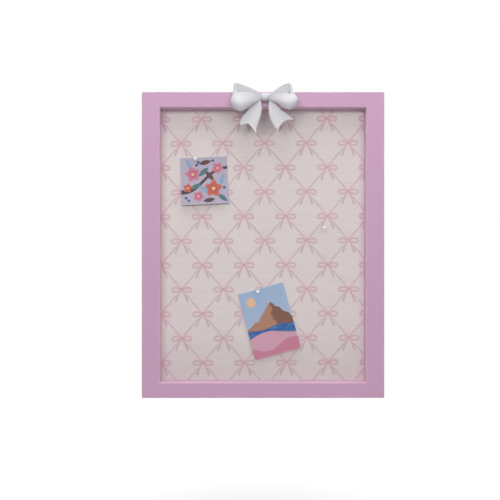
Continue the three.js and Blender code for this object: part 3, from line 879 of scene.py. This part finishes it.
@dataclass(frozen=True)
class BlossomCard(PictureCard):
    """Lavender ground with a blossoming branch, leaves, pods and berries.

    Each row starts with a place, right of the card's middle and above it, in millimetres. Blossoms add the
    length of their petals and a colour. Leaves add the turn of their tip in degrees, half their length and a
    colour.
    """

    ground: tuple[Screen, Screen] = ((166, 164, 188), (178, 166, 180))
    cloud_scale: float = 0.03
    blossoms: tuple[tuple[float, float, float, Dye], ...] = (
        (-17.0, 10.0, 11.5, Dye.ROSE),
        (13.0, -12.0, 13.0, Dye.CORAL),
        (20.0, 18.0, 9.0, Dye.ROSE),
        (-9.5, -23.0, 8.5, Dye.ROSE),
        (-25.0, -10.0, 7.0, Dye.CORAL),
    )
    leaves: tuple[tuple[float, float, float, float, Dye], ...] = (
        (-1.0, 13.0, 40.0, 10.0, Dye.LEAF),
        (0.0, -13.0, 150.0, 10.0, Dye.MIST),
        (26.0, 1.0, 70.0, 10.0, Dye.MIST),
        (-22.0, 25.0, 110.0, 9.0, Dye.MIST),
        (-13.0, -8.0, 205.0, 9.0, Dye.LEAF),
        (26.0, -26.0, -40.0, 9.0, Dye.LEAF),
        (2.0, 27.0, 12.0, 9.5, Dye.POD),
        (8.0, 7.0, -50.0, 9.5, Dye.POD),
        (6.0, -29.0, 8.0, 9.0, Dye.POD),
    )
    berries: tuple[tuple[float, float], ...] = (
        (-8.0, 27.5),
        (-10.5, 23.5),
        (13.5, 29.5),
        (-28.0, -25.0),
        (-24.0, -29.0),
        (29.0, -11.0),
    )
    berry_reach: float = 2.0
    branch_level: float = 1.0
    branch_rise: float = 0.5
    branch_wave: tuple[float, float] = (0.09, 5.0)
    branch_half: float = 2.7
    branch_taper: float = 0.02
    leaf_width: float = 0.36
    petals: float = 5.0
    petal_depth: float = 0.17
    petal_soft: float = 0.6
    throat: float = 0.5
    throat_soft: float = 0.7
    throat_strength: float = 0.5
    stamens: float = 0.2
    soft: float = 0.5

    def paint(self, wiring: Wiring, vector: Socket) -> Socket:
        """Paints ground, branch, leaves, berries and blossoms, one over the other."""
        x, _, z = wiring.axes(vector)
        cloud = wiring.noise(vector, self.cloud_scale)
        colour = wiring.mix(cloud, linear(self.ground[0]), linear(self.ground[1]))
        rate, sway = self.branch_wave
        bend = (x * rate).sine() * sway
        away = (z - x * self.branch_rise - bend - self.branch_level).size()
        branch = away.below(self.branch_half - x * self.branch_taper, self.soft)
        colour = wiring.mix(branch, colour, linear(Dye.BARK.value))
        for left, up, turn, long, dye in self.leaves:
            mask = self.leaf_mask(x - left, z - up, math.radians(turn), long)
            colour = wiring.mix(mask, colour, linear(dye.value))
        for left, up in self.berries:
            mask = (x - left).length_with(z - up).below(self.berry_reach, self.soft)
            colour = wiring.mix(mask, colour, linear(Dye.BERRY.value))
        for left, up, reach, dye in self.blossoms:
            colour = self.blossom(wiring, colour, (x - left, z - up), reach, dye)
        return colour

    def leaf_mask(self, x: Field, z: Field, turn: float, long: float) -> Field:
        """Masks a pointed leaf.

        Args:
            x: Distance right of its middle.
            z: Height above its middle.
            turn: Direction of its tip, in radians.
            long: Half its length.

        Returns:
            A mask from 0 to 1.
        """
        along = x * math.cos(turn) + z * math.sin(turn)
        across = (z * math.cos(turn) - x * math.sin(turn)).size()
        belly = 1.0 - (along / long) * (along / long)
        return across.below(belly * long * self.leaf_width, self.soft)

    def blossom(
        self, wiring: Wiring, under: Socket, place: tuple[Field, Field], reach: float, dye: Dye
    ) -> Socket:
        """Paints a blossom over what is there.

        Args:
            wiring: Wiring of the material's tree.
            under: Colour that it goes over.
            place: Distances right of its middle and above it.
            reach: Length of its petals.
            dye: Colour of its petals.

        Returns:
            The colour with the blossom on it.
        """
        x, z = place
        far = x.length_with(z)
        wave = (z.angle_over(x) * self.petals + reach).sine()
        rim = wave * (self.petal_depth * reach) + (1 - self.petal_depth) * reach
        colour = wiring.mix(far.below(rim, self.petal_soft), under, linear(dye.value))
        throat = far.below(reach * self.throat, reach * self.throat_soft) * self.throat_strength
        colour = wiring.mix(throat, colour, linear(Dye.THROAT.value))
        stamens = far.below(reach * self.stamens, self.petal_soft)
        return wiring.mix(stamens, colour, linear(Dye.STAMEN.value))


@dataclass(frozen=True)
class Peak:
    """Outline of a mountain: where it stands, its top, how fast it falls and how rough it is."""

    middle: float
    top: float
    fall: float
    rough: float

    def outline(self, x: Field, ragged: Field) -> Field:
        """Returns the height of the outline along X."""
        return self.top - (x - self.middle).size() * self.fall + ragged * self.rough


@dataclass(frozen=True)
class Swell:
    """Wavy outline of a shore or a hill: its wave, its level, how rough it is and how soft."""

    rate: float
    phase: float
    rise: float
    level: float
    rough: float
    soft: float

    def under(self, x: Field, z: Field, ragged: Field) -> Field:
        """Masks what lies under the outline."""
        line = (x * self.rate + self.phase).sine() * self.rise + self.level + ragged * self.rough
        return z.below(line, self.soft)


@dataclass(frozen=True)
class HillsCard(PictureCard):
    """Blue sky over tan mountains, a strip of water and pink hills."""

    sky: tuple[Screen, Screen] = ((154, 176, 206), (172, 180, 199))
    sky_fall: float = 0.012
    sky_middle: float = 0.4
    sky_rough: float = 0.4
    ragged_scale: float = 0.09
    sun: Screen = (222, 184, 150)
    sun_place: tuple[float, float] = (-19.0, 33.0)
    sun_reach: float = 7.0
    sun_soft: float = 0.6
    mountains: tuple[Screen, Screen] = ((166, 120, 96), (96, 58, 44))
    high_peak: Peak = Peak(8.0, 27.0, 1.0, 9.0)
    low_peak: Peak = Peak(-19.0, 4.0, 0.6, 8.0)
    ridge_soft: float = 0.7
    shade_rough: float = 16.0
    shade_soft: float = 3.0
    shade_strength: float = 0.75
    water: Screen = (28, 80, 146)
    glint: Screen = (100, 150, 196)
    glint_stretch: tuple[float, float, float] = (0.08, 1.0, 0.8)
    glint_from: float = 0.56
    glint_soft: float = 0.1
    glint_strength: float = 0.6
    shore: Swell = Swell(0.13, 0.0, 1.6, -9.0, 0.0, 0.6)
    hills: tuple[Screen, Screen] = ((202, 152, 172), (190, 118, 142))
    far_hill: Swell = Swell(0.07, 2.2, 5.0, -19.0, 2.0, 0.7)
    near_hill: Swell = Swell(0.085, -0.6, 6.0, -36.0, 3.0, 0.8)

    def paint(self, wiring: Wiring, vector: Socket) -> Socket:
        """Paints the land from the far sky to the near hills."""
        x, _, z = wiring.axes(vector)
        ragged = wiring.noise(vector, self.ragged_scale) - 0.5
        haze = (z * -self.sky_fall + self.sky_middle + ragged * self.sky_rough).most(0.0)
        colour = wiring.mix(haze, linear(self.sky[0]), linear(self.sky[1]))
        from_sun = (x - self.sun_place[0]).length_with(z - self.sun_place[1])
        colour = wiring.mix(from_sun.below(self.sun_reach, self.sun_soft), colour, linear(self.sun))
        ridge = self.high_peak.outline(x, ragged).most(self.low_peak.outline(x, ragged))
        from_top = x - self.high_peak.middle + ragged * self.shade_rough
        shaded = from_top.above(0.0, self.shade_soft) * self.shade_strength
        stone = wiring.mix(shaded, linear(self.mountains[0]), linear(self.mountains[1]))
        colour = wiring.mix(z.below(ridge, self.ridge_soft), colour, stone)
        sea = self.shore.under(x, z, ragged)
        colour = wiring.mix(sea, colour, linear(self.water))
        ripples = wiring.noise(wiring.stretched(vector, self.glint_stretch), 1.0, detail=2.0)
        glint = ripples.above(self.glint_from, self.glint_soft)
        colour = wiring.mix(glint * sea * self.glint_strength, colour, linear(self.glint))
        colour = wiring.mix(self.far_hill.under(x, z, ragged), colour, linear(self.hills[0]))
        return wiring.mix(self.near_hill.under(x, z, ragged), colour, linear(self.hills[1]))


def dress(node: str, finish: Finish) -> None:
    """Gives a CAD node a finish and reports it."""
    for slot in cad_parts[node].material_slots:
        slot.material = finish.material()
    LOG.info("dressed %s in %s", node, finish.name)


def show(name: str, shape: Shape, *finishes: Finish) -> bpy.types.Object:
    """Makes a smooth object of a finished shape.

    Args:
        name: Name of the piece.
        shape: Its mesh in metres, freed here.
        finishes: Finishes of its material slots, in order.

    Returns:
        The object, at the origin.
    """
    for face in shape.faces:
        face.smooth = True
    mesh = bpy.data.meshes.new(name)
    shape.to_mesh(mesh)
    shape.free()
    piece = bpy.data.objects.new(name, mesh)
    bpy.context.scene.collection.objects.link(piece)
    for finish in finishes:
        mesh.materials.append(finish.material())
    LOG.info("built %s: %d faces", name, len(mesh.polygons))
    return piece


def merged(node: str) -> Shape:
    """Returns a copy of a CAD node's mesh with its triangles sewn together and paired into quads."""
    shape = bmesh.new()
    shape.from_mesh(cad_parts[node].data)
    bmesh.ops.remove_doubles(shape, verts=shape.verts, dist=SEW_DISTANCE)
    bmesh.ops.join_triangles(
        shape, faces=shape.faces, angle_face_threshold=PAIR_BEND, angle_shape_threshold=PAIR_SKEW
    )
    return shape


def subdivide(piece: bpy.types.Object, levels: int) -> None:
    """Adds a Subdivision Surface of the same level in the view and the render."""
    rounding = piece.modifiers.new("rounding", "SUBSURF")
    rounding.levels = levels
    rounding.render_levels = levels


def stand_for(piece: bpy.types.Object, body: str, slot: str, *nodes: str) -> None:
    """Lets a piece ride on a body in place of CAD nodes, and hides those nodes."""
    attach(piece, body)
    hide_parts(*nodes)


@dataclass
class PaintedFrame:
    """The four butt-jointed bars and the dowels inside their joints."""

    stiles: tuple[str, ...] = ("left_stile", "right_stile")
    rails: tuple[str, ...] = ("top_rail", "bottom_rail")
    # The stiles' painted shade deep in the opening is paler than the rails'.
    stile_paint: LilacPaint = LilacPaint("lilac_paint_upright", Lay.UPRIGHT, painted_shade_deep=(216, 180, 202))
    rail_paint: LilacPaint = LilacPaint("lilac_paint_level")

    def build(self) -> None:
        """Paints the bars along their length and gives the dowels their wood."""
        for bar in self.stiles:
            dress(bar, self.stile_paint)
        for bar in self.rails:
            dress(bar, self.rail_paint)
        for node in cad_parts:
            if node.startswith("dowel_"):
                dress(node, BareWood("dowel_beech"))


@dataclass
class LinenPanel:
    """The printed linen stretched over the soft board, and the boards behind it."""

    thickness: float = 0.5 * MM
    hem: float = 25 * MM
    edge_round: float = 1.0 * MM
    dimple_depth: float = 0.22 * MM
    dimple_reach: float = 5 * MM
    slack: float = 0.1 * MM
    slack_waves: tuple[float, float] = (61.0, 47.0)
    slack_phase: float = 0.6
    cells: tuple[int, int] = (78, 104)
    pins: tuple[str, ...] = ("square_card_pin_needle", "tall_card_pin_needle", "spare_pin_needle")
    weave: PrintedLinen = PrintedLinen("printed_linen_weave")
    core: FibreBoard = FibreBoard("soft_board_fibres", (196, 176, 146), (160, 138, 108), 0.7, 0.2)
    backing: FibreBoard = FibreBoard("hardboard_fibres")

    def build(self) -> None:
        low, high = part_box("fabric_cover")
        linen = show("linen_cover", self.wrap(low, high), self.weave)
        cloth = linen.modifiers.new("cloth", "SOLIDIFY")
        cloth.thickness = self.thickness
        cloth.offset = -1.0
        stand_for(linen, "board", "printed_linen", "fabric_cover")
        wrap = 2 * (high.y - low.y) + 2 * self.hem
        flat = (high.x - low.x + wrap, high.z - low.z + wrap)
        corners = 4 * (wrap / 2) ** 2
        flat[0] * flat[1] - corners
        dress("soft_board_core", self.core)
        dress("backing_board", self.backing)

    def wrap(self, low: Vector, high: Vector) -> Shape:
        """Folds a grid round the board's edges and turns hems in on its back.

        Args:
            low: Lowest corner of the room it has.
            high: Highest corner.

        Returns:
            The sheet's outer face.
        """
        shape = bmesh.new()
        bmesh.ops.create_grid(shape, x_segments=self.cells[0], y_segments=self.cells[1], size=0.5)
        bmesh.ops.scale(shape, verts=shape.verts, vec=(high.x - low.x, high.z - low.z, 1.0))
        upright = Matrix.Rotation(math.pi / 2, 3, "X")
        bmesh.ops.rotate(shape, verts=shape.verts, cent=(0, 0, 0), matrix=upright)
        middle = (low + high) / 2
        bmesh.ops.translate(shape, verts=shape.verts, vec=(middle.x, low.y, middle.z))
        self.settle(shape)
        front_rim = [edge for edge in shape.edges if edge.is_boundary]
        side_rim = self.turn_back(shape, front_rim, Vector((0, high.y - low.y, 0)), Vector((1, 1, 1)), middle)
        shrink = Vector((1 - 2 * self.hem / (high.x - low.x), 1, 1 - 2 * self.hem / (high.z - low.z)))
        self.turn_back(shape, side_rim, Vector(), shrink, middle)
        folds = front_rim + side_rim
        bmesh.ops.bevel(
            shape, geom=folds, offset=self.edge_round, segments=3, profile=0.5, affect="EDGES", material=-1
        )
        return shape

    def turn_back(self, shape: Shape, rim: Edges, step: Vector, shrink: Vector, middle: Vector) -> Edges:
        """Extrudes a rim and moves the new edge.

        Args:
            shape: The sheet.
            rim: Edges to extrude.
            step: How far the new edge moves.
            shrink: Scale of the new edge about the middle.
            middle: The panel's middle.

        Returns:
            The new edges.
        """
        grown = bmesh.ops.extrude_edge_only(shape, edges=rim)["geom"]
        corners = [item for item in grown if isinstance(item, bmesh.types.BMVert)]
        bmesh.ops.translate(shape, verts=corners, vec=step)
        bmesh.ops.scale(shape, verts=corners, vec=shrink, space=Matrix.Translation(-middle))
        return [item for item in grown if isinstance(item, bmesh.types.BMEdge) and item.is_boundary]

    def settle(self, shape: Shape) -> None:
        """Lets the linen sink a little in slack waves and round each pin."""
        places = [sum(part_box(pin), Vector()) / 2 for pin in self.pins]
        across, along = self.slack_waves
        for vert in shape.verts:
            wave = math.sin(vert.co.x * across) * math.sin(vert.co.z * along + self.slack_phase)
            sink = self.slack * (0.5 + 0.5 * wave)
            for place in places:
                away = math.hypot(vert.co.x - place.x, vert.co.z - place.z)
                sink = max(sink, self.dimple_depth * math.exp(-((away / self.dimple_reach) ** 2)))
            vert.co.y += sink


@dataclass
class RibbonBow:
    """The satin bow on the top rail: two loops, two tails and the knot.

    Each tug names a tail, a point of its end and how far that point moves, along X and Z in millimetres.
    """

    loops: tuple[str, ...] = ("bow_loop_left", "bow_loop_right")
    tails: tuple[str, ...] = ("bow_tail_left", "bow_tail_right")
    knot: str = "bow_knot"
    satin: SatinRibbon = SatinRibbon("white_satin")
    # The satin's dull reverse, tinted darker: painted shade on the faces inside the loops.
    shaded_reverse: SatinRibbon = SatinRibbon("white_satin_shaded_reverse", (203, 201, 206), (191, 189, 194))
    loop_back: float = 6.8 * MM
    lining_tilt: float = 0.25
    knot_spread: float = 1.5
    tugs: tuple[tuple[str, tuple[float, float], tuple[float, float]], ...] = (
        ("bow_tail_left", (-33.6, -36.4), (0.0, -2.6)),
        ("bow_tail_left", (-10.2, -49.4), (0.0, -2.0)),
        ("bow_tail_right", (21.1, -44.4), (0.0, -2.8)),
        ("bow_tail_right", (26.3, -31.3), (3.6, -1.6)),
        ("bow_tail_right", (43.4, -30.4), (0.0, -1.4)),
    )
    tug_reach: float = 7.0
    border: float = math.radians(50)
    border_round: float = 0.45 * MM

    def build(self) -> None:
        """Shapes a copy of each CAD part and rounds its borders into soft satin."""
        for part in (*self.loops, *self.tails, self.knot):
            shape = merged(part)
            if part == self.knot:
                self.spread(shape)
            for tail, place, move in self.tugs:
                if part == tail:
                    self.tug(shape, place, move)
            borders = [edge for edge in shape.edges if edge.calc_face_angle(0.0) > self.border]
            bmesh.ops.bevel(
                shape,
                geom=borders,
                offset=self.border_round,
                segments=2,
                profile=0.5,
                affect="EDGES",
                clamp_overlap=True,
                material=-1,
            )
            if part in self.loops:
                self.line(shape)
            finishes = (self.satin, self.shaded_reverse) if part in self.loops else (self.satin,)
            ribbon = show(part.replace("bow", "satin"), shape, *finishes)
            stand_for(ribbon, "board", "white_bow", part)

    def line(self, shape: Shape) -> None:
        """Gives the faces that look into a loop the ribbon's dull reverse, tinted darker as painted shade
        inside the loop.
        """
        shape.normal_update()
        rail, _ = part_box("top_rail")
        for face in shape.faces:
            at_back = face.calc_center_median().y > rail.y - self.loop_back
            inward = -face.normal.y if at_back else face.normal.y
            face.material_index = int(inward > self.lining_tilt)

    def tug(self, shape: Shape, place: tuple[float, float], move: tuple[float, float]) -> None:
        """Moves a tail softly round a point of its notched end.

        Args:
            shape: The tail.
            place: The point's X and Z in millimetres.
            move: How far it goes along X and Z, in millimetres.
        """
        for vert in shape.verts:
            away = math.hypot(vert.co.x / MM - place[0], vert.co.z / MM - place[1]) / self.tug_reach
            vert.co += Vector((move[0], 0.0, move[1])) * (MM * math.exp(-away * away))

    def spread(self, shape: Shape) -> None:
        """Spreads the knot's upper half over the roots of the loops."""
        low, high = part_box(self.knot)
        middle = (low + high) / 2
        upper = [vert for vert in shape.verts if vert.co.z > middle.z]
        bmesh.ops.scale(shape, verts=upper, vec=(self.knot_spread, 1, 1), space=Matrix.Translation(-middle))


@dataclass
class BallPins:
    """The three ball-head pins, each a bead and a needle."""

    pins: tuple[tuple[str, str], ...] = (
        ("square_card_pin", "square_pin"),
        ("tall_card_pin", "tall_pin"),
        ("spare_pin", "spare_pin"),
    )
    levels: int = 2

    def build(self) -> None:
        """Rounds the beads and gives the needles their steel."""
        for pin, body in self.pins:
            bead = show(f"{pin}_bead", merged(f"{pin}_head"), Pearl("pearl_bead"))
            subdivide(bead, self.levels)
            stand_for(bead, body, "white_ball", f"{pin}_head")
            dress(f"{pin}_needle", BrightSteel("bright_steel_plate"))


@dataclass
class PinnedCards:
    """The two printed cards, each hung from its pin."""

    square_turn: float = 2.5
    square_half: tuple[float, float] = (35.0, 35.0)
    tall_turn: float = 15.2
    tall_half: tuple[float, float] = (35.0, 50.0)
    front_tilt: float = -0.5
    cut_angle: float = math.radians(40)

    def build(self) -> None:
        """Prints the front of each card and leaves its back and edges plain."""
        self.print_card("square_card", "lavender_card", BlossomCard, self.square_turn, self.square_half)
        self.print_card("tall_card", "sky_card", HillsCard, self.tall_turn, self.tall_half)

    def print_card(
        self, node: str, slot: str, design: type[PictureCard], turn: float, half: tuple[float, float]
    ) -> None:
        """Makes one card.

        Args:
            node: CAD node and body of the card.
            slot: Material slot of its face.
            design: Class of its printed face.
            turn: Anticlockwise turn in degrees.
            half: Half its width and height in millimetres.
        """
        low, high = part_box(node)
        middle = (low + high) / (2 * MM)
        face = design(f"{slot}_print", (middle.x, middle.z), turn, half)
        shape = merged(node)
        shape.normal_update()
        for side in shape.faces:
            side.material_index = 0 if side.normal.y < self.front_tilt else 1
        card = show(f"{node}_print", shape, face, CardPaper("card_paper"))
        card.data.set_sharp_from_angle(angle=self.cut_angle)
        stand_for(card, node, slot, node)


@dataclass
class BackFittings:
    """Turn buttons, their screws, the sawtooth hanger with its nails, and the wall bumpers."""

    def build(self) -> None:
        """Gives the metal its plating and the bumpers their rubber."""
        steel, rubber = BrightSteel("bright_steel_plate"), DarkRubber("dark_rubber_moulded")
        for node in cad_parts:
            if node.startswith(("turn_", "sawtooth", "hanger_nail")):
                dress(node, steel)
            elif node.startswith("wall_bumper"):
                dress(node, rubber)


@dataclass
class Studio:
    """Camera, soft light from above and a pale floor.

    Each key lamp has a place along X, Y and Z in metres and a power in watts.
    """

    eye: tuple[float, float, float] = (-0.0189, -0.83105, -0.21825)
    view_across: float = 0.725
    view_distance: float = 0.8
    sensor: float = 36.0
    nearest: float = 0.01
    sky_low: float = 0.13
    sky_high: float = 0.54
    key_size: float = 0.6
    key_spread: float = math.radians(100)
    key_aim: tuple[float, float, float] = (0.0, -0.03, 0.02)
    keys: tuple[tuple[float, float, float, float], ...] = (
        (0.62, -1.6, 0.29, 2.1),
        (-0.62, -1.6, 0.29, 2.46),
    )
    top_power: float = 9.0
    top_size: float = 0.7
    top_place: tuple[float, float, float] = (0.0, -0.49, 1.22)
    back_power: float = 16.0
    back_size: float = 1.6
    back_place: tuple[float, float, float] = (0.9, 1.5, 1.3)
    floor_level: float = -0.75
    floor_reach: float = 0.5
    floor_sides: int = 96
    fade_from: float = 260.0
    fade_soft: float = 360.0
    floor_tint: Screen = (232, 230, 229)
    floor_rough: float = 0.9

    def build(self) -> None:
        """Sets up the view, the light and the floor."""
        scene = bpy.context.scene
        scene.view_settings.view_transform = "Standard"
        self.camera(scene)
        for *place, power in self.keys:
            key = self.lamp("key", place, self.key_aim, power)
            key.size = self.key_size
            key.spread = self.key_spread
        self.lamp("top", self.top_place, FRAME_MIDDLE, self.top_power).size = self.top_size
        self.lamp("back", self.back_place, FRAME_MIDDLE, self.back_power).size = self.back_size
        self.sky(scene)
        self.floor()

    def camera(self, scene: bpy.types.Scene) -> None:
        """Stands the camera in front of the board, level and square to it."""
        lens = bpy.data.cameras.new("camera")
        lens.sensor_width = self.sensor
        lens.lens = self.sensor * self.view_distance / self.view_across
        lens.clip_start = self.nearest
        camera = bpy.data.objects.new("camera", lens)
        camera.location = self.eye
        camera.rotation_euler = (math.pi / 2, 0.0, 0.0)
        scene.collection.objects.link(camera)
        scene.camera = camera

    def lamp(
        self, name: str, place: Sequence[float], aim: Sequence[float], power: float
    ) -> bpy.types.AreaLight:
        """Hangs a soft square lamp.

        Args:
            name: Name of the lamp.
            place: Where it hangs.
            aim: Point that it faces.
            power: Its power in watts.

        Returns:
            The lamp's light.
        """
        light = bpy.data.lights.new(name, "AREA")
        light.energy = power
        lamp = bpy.data.objects.new(name, light)
        lamp.location = place
        lamp.rotation_euler = (Vector(aim) - Vector(place)).to_track_quat("-Z", "Y").to_euler()
        bpy.context.scene.collection.objects.link(lamp)
        return light

    def seen_straight(self, wiring: Wiring) -> Field:
        """Masks the rays that show the background: from the camera, in gloss or through glass."""
        path = wiring.add("ShaderNodeLightPath", {})
        seen = wiring.field(path.outputs["Is Camera Ray"])
        seen = seen.most(wiring.field(path.outputs["Is Glossy Ray"]))
        return seen.most(wiring.field(path.outputs["Is Transmission Ray"]))

    def sky(self, scene: bpy.types.Scene) -> None:
        """Shows white behind the board and lights it softly, more from above than from below."""
        world = bpy.data.worlds.new("studio")
        world.use_nodes = True
        wiring = Wiring(world.node_tree)
        ground = world.node_tree.nodes["Background"]
        ground.inputs["Color"].default_value = (1.0, 1.0, 1.0, 1.0)
        _, _, rise = wiring.axes(wiring.place(Vector()))
        down_to_up = 2 / MM
        level = rise.above(0.0, down_to_up) * (self.sky_high - self.sky_low) + self.sky_low
        wiring.feed(ground.inputs["Strength"], level.most(self.seen_straight(wiring)))
        scene.world = world

    def floor(self) -> None:
        """Lays a pale floor well below the hung board that fades into the white behind it."""
        shape = bmesh.new()
        bmesh.ops.create_circle(shape, cap_ends=True, segments=self.floor_sides, radius=self.floor_reach)
        bmesh.ops.translate(shape, verts=shape.verts, vec=(0.0, 0.0, self.floor_level))
        mesh = bpy.data.meshes.new("floor")
        shape.to_mesh(mesh)
        shape.free()
        floor = bpy.data.objects.new("floor", mesh)
        bpy.context.scene.collection.objects.link(floor)
        mesh.materials.append(self.floor_material())

    def floor_material(self) -> bpy.types.Material:
        """Returns a matt floor that turns plain white away from the board."""
        made = bpy.data.materials.new("studio_floor")
        made.use_nodes = True
        wiring = Wiring(made.node_tree)
        shader = made.node_tree.nodes["Principled BSDF"]
        vector = wiring.place(Vector((0.0, 0.0, self.floor_level)))
        x, y, _ = wiring.axes(vector)
        grain = Mottle().lay(wiring, vector, Cloud_Scale=0.004, Grain_Scale=0.8, Cloud=0.03, Grain=0.02)
        wiring.feed(shader.inputs["Base Color"], wiring.shade(linear(self.floor_tint), grain["Tone"]))
        shader.inputs["Roughness"].default_value = self.floor_rough
        white = wiring.add("ShaderNodeEmission", {"Strength": 1.0})
        away = x.length_with(y).above(self.fade_from, self.fade_soft)
        blend = wiring.add("ShaderNodeMixShader", {"Fac": self.seen_straight(wiring) * away})
        wiring.feed(blend.inputs[1], shader.outputs[0])
        wiring.feed(blend.inputs[2], white.outputs[0])
        wiring.feed(made.node_tree.nodes["Material Output"].inputs["Surface"], blend.outputs[0])
        return made


def main() -> None:
    """Builds the pin board and its studio."""
    logging.basicConfig(level=logging.INFO, format="%(name)s: %(message)s")
    parts = (Studio(), PaintedFrame(), LinenPanel(), RibbonBow(), BallPins(), PinnedCards(), BackFittings())
    for part in parts:
        LOG.info("%s", type(part).__name__)
        part.build()


if __name__ == "__main__":
    main()
